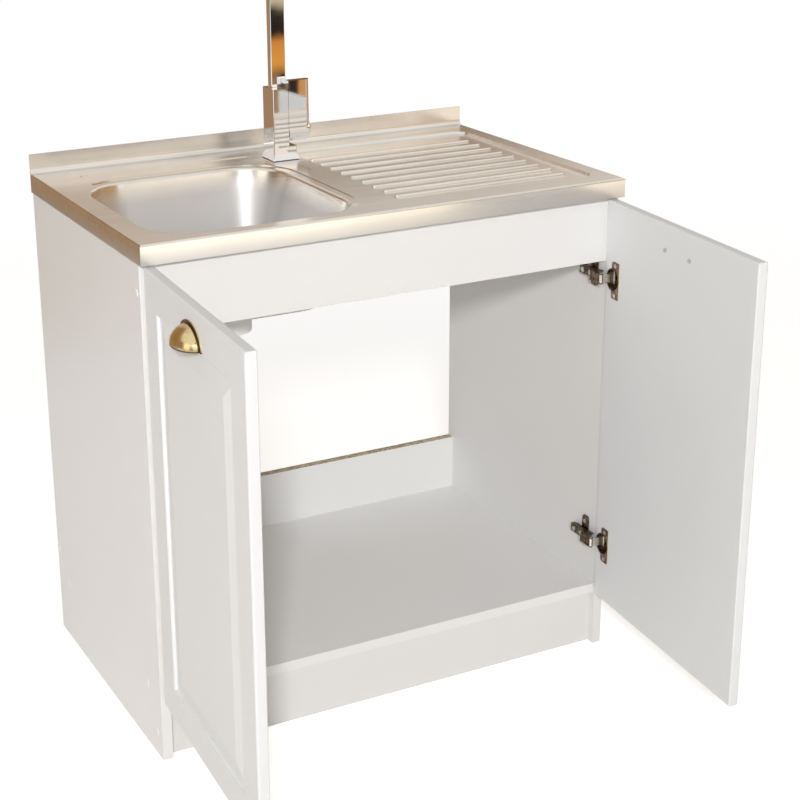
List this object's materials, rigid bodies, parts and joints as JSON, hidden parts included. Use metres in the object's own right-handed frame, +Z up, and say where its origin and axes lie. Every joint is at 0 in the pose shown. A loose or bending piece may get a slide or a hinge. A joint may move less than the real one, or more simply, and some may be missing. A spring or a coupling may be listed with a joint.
{
  "type": "kitchen sink unit",
  "caption": "Two-door base cabinet with a lay-on steel sink and ribbed drainer, an upright square lever tap with swivel spout, shell pulls and concealed hinges.",
  "frame": {"origin": "on the floor at mid-width, under the middle of the thickness of the plinth board", "axes": "+Z up, +Y towards the wall, -Y towards the person at the sink, +X towards the drainer side"},
  "size_m": [0.835, 0.8851, 1.119],
  "materials": {
    "white_board": "smooth white laminate on chipboard",
    "white_foil": "matt white foil on milled fibreboard",
    "sink_steel": "satin stainless sheet",
    "drain_steel": "polished stainless steel",
    "chrome": "bright chrome",
    "antique_brass": "antique brass, brushed and darkened",
    "hinge_steel": "dark nickel-bronze plating",
    "link_steel": "bright zinc plating",
    "screw_steel": "zinc plated",
    "white_plastic": "moulded plastic",
    "ceramic_plastic": "moulded cartridge shell",
    "black_rubber": "soft rubber"
  },
  "bodies": {
    "cabinet": {"arm_screws": "screw_steel", "bottom_shelf": "white_board", "bracket_screws": "screw_steel", "carcass_screws": "screw_steel", "cartridge": "ceramic_plastic", "cartridge_nut": "screw_steel", "drain_gasket": "black_rubber", "drain_housing": "white_plastic", "drain_screw": "drain_steel", "front_rail": "white_board", "hinge_arm_left_bottom": "hinge_steel", "hinge_arm_left_top": "hinge_steel", "hinge_arm_right_bottom": "hinge_steel", "hinge_arm_right_top": "hinge_steel", "hinge_pins": "link_steel", "hinge_plate_left_bottom": "hinge_steel", "hinge_plate_left_top": "hinge_steel", "hinge_plate_right_bottom": "hinge_steel", "hinge_plate_right_top": "hinge_steel", "horseshoe_washer": "screw_steel", "plate_screws": "screw_steel", "plinth": "white_board", "rear_board": "white_board", "screw_caps": "white_plastic", "side_panel_left": "white_board", "side_panel_right": "white_board", "sink_brackets": "screw_steel", "sink_top": "sink_steel", "strainer_body": "drain_steel", "tap_base": "chrome", "tap_body": "chrome", "tap_gasket": "black_rubber", "tap_nut": "screw_steel", "tap_stud": "screw_steel"},
    "spout": {"aerator": "chrome", "spout": "chrome"},
    "door_left": {"cup_pins_left": "link_steel", "cup_screws_left": "screw_steel", "door_left": "white_foil", "handle_left": "antique_brass", "handle_screws_left": "screw_steel", "hinge_cup_left_bottom": "hinge_steel", "hinge_cup_left_top": "hinge_steel"},
    "door_right": {"cup_pins_right": "link_steel", "cup_screws_right": "screw_steel", "door_right": "white_foil", "handle_right": "antique_brass", "handle_screws_right": "screw_steel", "hinge_cup_right_bottom": "hinge_steel", "hinge_cup_right_top": "hinge_steel"},
    "link_left_bottom": {"hinge_link_left_bottom": "link_steel"},
    "link_left_top": {"hinge_link_left_top": "link_steel"},
    "link_right_bottom": {"hinge_link_right_bottom": "link_steel"},
    "link_right_top": {"hinge_link_right_top": "link_steel"},
    "lever_collar": {"lever_pin": "screw_steel", "lever_sleeve": "screw_steel"},
    "lever": {"lever_screw": "screw_steel", "lever_stem": "screw_steel", "tap_lever": "chrome"},
    "basket": {"strainer_basket": "drain_steel"}
  },
  "joints": [
    {"name": "door_left_hinge", "type": "hinge", "parent": "cabinet", "child": "door_left", "pos_m": [-0.3882, -0.0355, 0.422], "axis": [0, 0, -1], "range_deg": [-93.3, 1.7]},
    {"name": "door_right_hinge", "type": "hinge", "parent": "cabinet", "child": "door_right", "pos_m": [0.3882, -0.0355, 0.422], "axis": [0, 0, 1], "range_deg": [-84.7, 10.3]},
    {"name": "link_left_top_pivot", "type": "hinge", "parent": "cabinet", "child": "link_left_top", "pos_m": [-0.364, -0.0328, 0.6515], "axis": [0, 0, -1], "range_deg": [-1, 5]},
    {"name": "link_left_bottom_pivot", "type": "hinge", "parent": "cabinet", "child": "link_left_bottom", "pos_m": [-0.364, -0.0328, 0.197], "axis": [0, 0, -1], "range_deg": [-1, 5]},
    {"name": "link_right_top_pivot", "type": "hinge", "parent": "cabinet", "child": "link_right_top", "pos_m": [0.364, -0.0328, 0.6515], "axis": [0, 0, 1], "range_deg": [-1, 5]},
    {"name": "link_right_bottom_pivot", "type": "hinge", "parent": "cabinet", "child": "link_right_bottom", "pos_m": [0.364, -0.0328, 0.197], "axis": [0, 0, 1], "range_deg": [-1, 5]},
    {"name": "spout_swivel", "type": "hinge", "parent": "cabinet", "child": "spout", "pos_m": [0, 0.376, 0.928], "axis": [0, 0, 1], "range_deg": [-90, 90]},
    {"name": "lever_turn", "type": "hinge", "parent": "cabinet", "child": "lever_collar", "pos_m": [0.0066, 0.3675, 0.858], "axis": [1, 0, 0], "range_deg": [0, 70]},
    {"name": "lever_lift", "type": "hinge", "parent": "lever_collar", "child": "lever", "pos_m": [0.005, 0.3675, 0.858], "axis": [0, 1, 0], "range_deg": [0, 10]},
    {"name": "basket_lift", "type": "slide", "parent": "cabinet", "child": "basket", "axis": [0, 0, 1], "range_m": [0, 0.06]}
  ],
  "couplings": [
    {"joint": "link_left_top_pivot", "follows": "door_left_hinge", "ratio": -0.049},
    {"joint": "link_left_bottom_pivot", "follows": "door_left_hinge", "ratio": -0.049},
    {"joint": "link_right_top_pivot", "follows": "door_right_hinge", "ratio": -0.049},
    {"joint": "link_right_bottom_pivot", "follows": "door_right_hinge", "ratio": -0.049}
  ]
}
